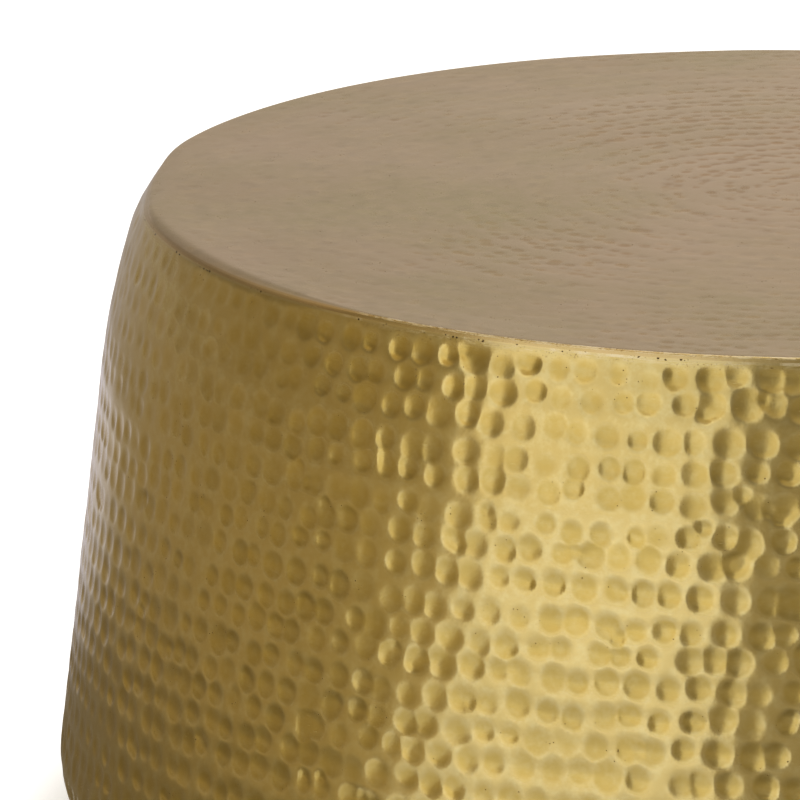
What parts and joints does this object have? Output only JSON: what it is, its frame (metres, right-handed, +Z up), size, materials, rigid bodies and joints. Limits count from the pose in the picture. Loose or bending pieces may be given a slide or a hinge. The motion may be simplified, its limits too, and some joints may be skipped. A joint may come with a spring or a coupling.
{
  "type": "round coffee table",
  "caption": "Round drum coffee table of hammered brass sheet: flat top with a turned-down lip, wall leaning out to a rounded belly, open underneath, standing on low glides.",
  "frame": {"origin": "on the floor, under the middle of the round top", "axes": "+Z up along the axis of the drum, -Y towards the front that the picture shows"},
  "size_m": [0.7606, 0.7606, 0.345],
  "materials": {
    "hammered_brass": "hand-hammered, satin, lightly aged",
    "plain_brass": "rolled, unpolished",
    "solder": "filed and buffed solder",
    "primed_steel": "matt black primer",
    "zinc_steel": "zinc plated",
    "fibreboard": "raw medium density fibreboard",
    "nylon": "moulded, matt"
  },
  "bodies": {
    "root": {"top_sheet": "hammered_brass", "base_ring": "hammered_brass", "wall_panel_1": "hammered_brass", "wall_panel_2": "hammered_brass", "wall_panel_3": "hammered_brass", "wall_panel_4": "hammered_brass", "seam_strap_1": "plain_brass", "seam_strap_2": "plain_brass", "seam_strap_3": "plain_brass", "seam_strap_4": "plain_brass", "glide_1": "nylon", "glide_2": "nylon", "glide_3": "nylon", "glide_4": "nylon", "glide_5": "nylon", "glide_6": "nylon", "solder_seam": "solder", "support_hoop": "primed_steel", "backing_board": "fibreboard", "board_screws": "zinc_steel", "glide_rivets": "zinc_steel"}
  },
  "joints": []
}
